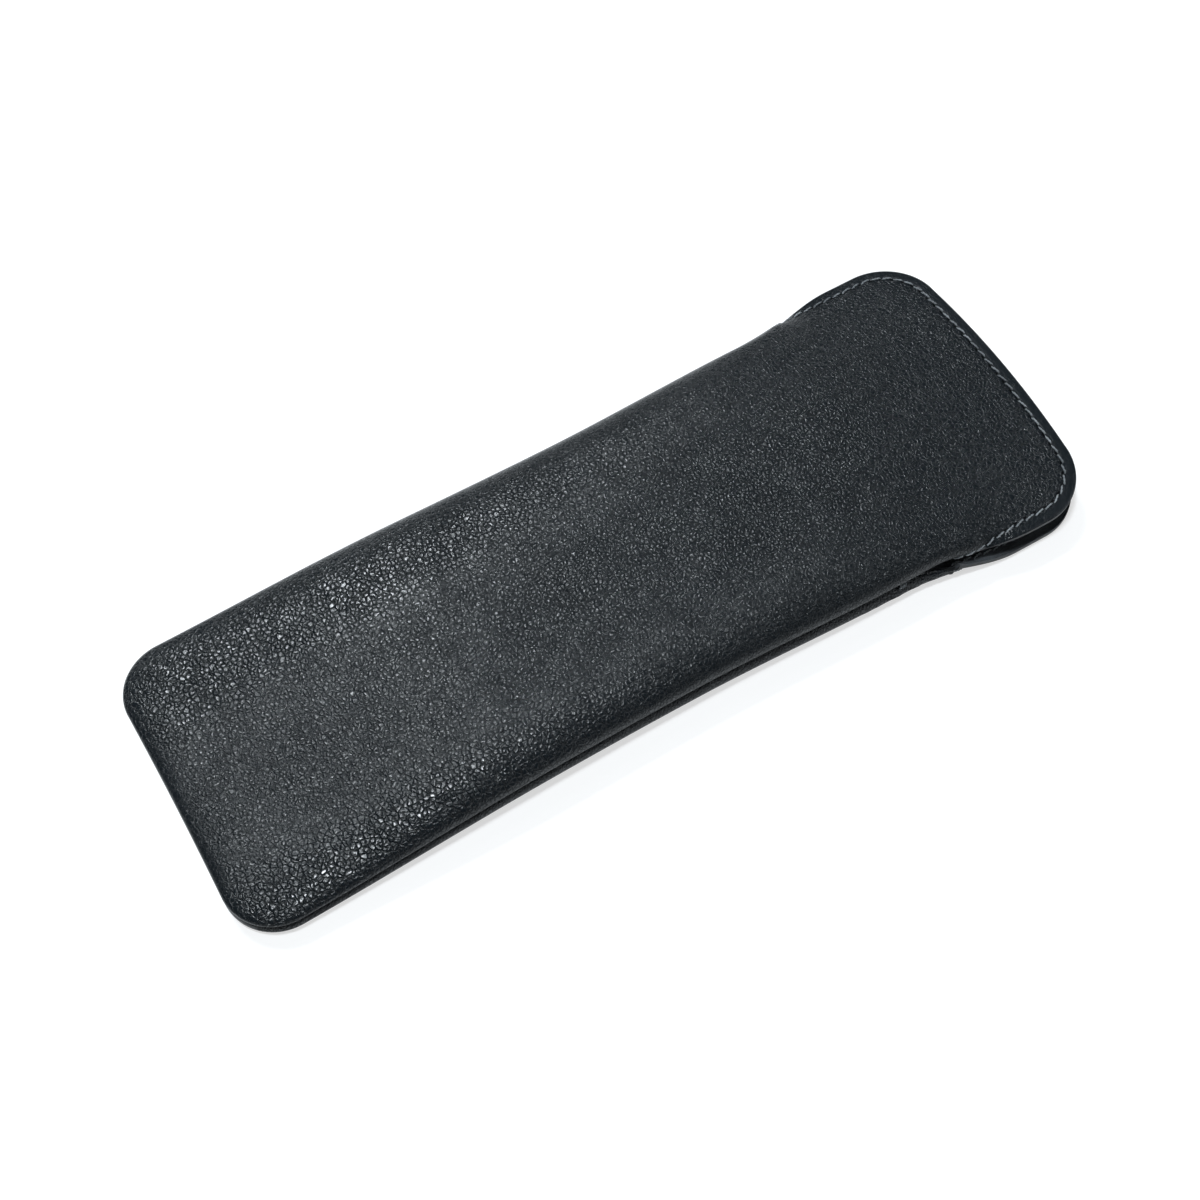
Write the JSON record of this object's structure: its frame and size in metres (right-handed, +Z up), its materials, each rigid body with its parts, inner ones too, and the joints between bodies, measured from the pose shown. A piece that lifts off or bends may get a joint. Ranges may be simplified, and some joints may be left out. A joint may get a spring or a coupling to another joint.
{
  "type": "pen sleeve",
  "caption": "Soft leather sleeve for a single pen, two padded and lined panels sewn together and turned, with two free stitched lips at an open mouth.",
  "frame": {"origin": "under the middle of the sleeve, on the surface it lies on", "axes": "+X along the sleeve to its mouth, +Y across it to the left side, +Z up through the front panel"},
  "size_m": [0.16, 0.06, 0.0111],
  "materials": {
    "leather": "soft charcoal black leather with a fine pebbled grain and a low sheen",
    "padding": "thin grey foam interlining, hidden between leather and lining",
    "lining": "dark matt suede-like lining cloth",
    "thread": "light grey twisted polyester sewing thread"
  },
  "bodies": {
    "root": {"front_panel": "leather", "back_panel": "leather", "front_padding": "padding", "back_padding": "padding", "front_lining": "lining", "back_lining": "lining", "front_lip_top_thread": "thread", "front_lip_bobbin_thread": "thread", "back_lip_top_thread": "thread", "back_lip_bobbin_thread": "thread", "seam_top_thread": "thread", "seam_bobbin_thread": "thread", "left_bar_tack": "thread", "right_bar_tack": "thread"}
  },
  "joints": []
}
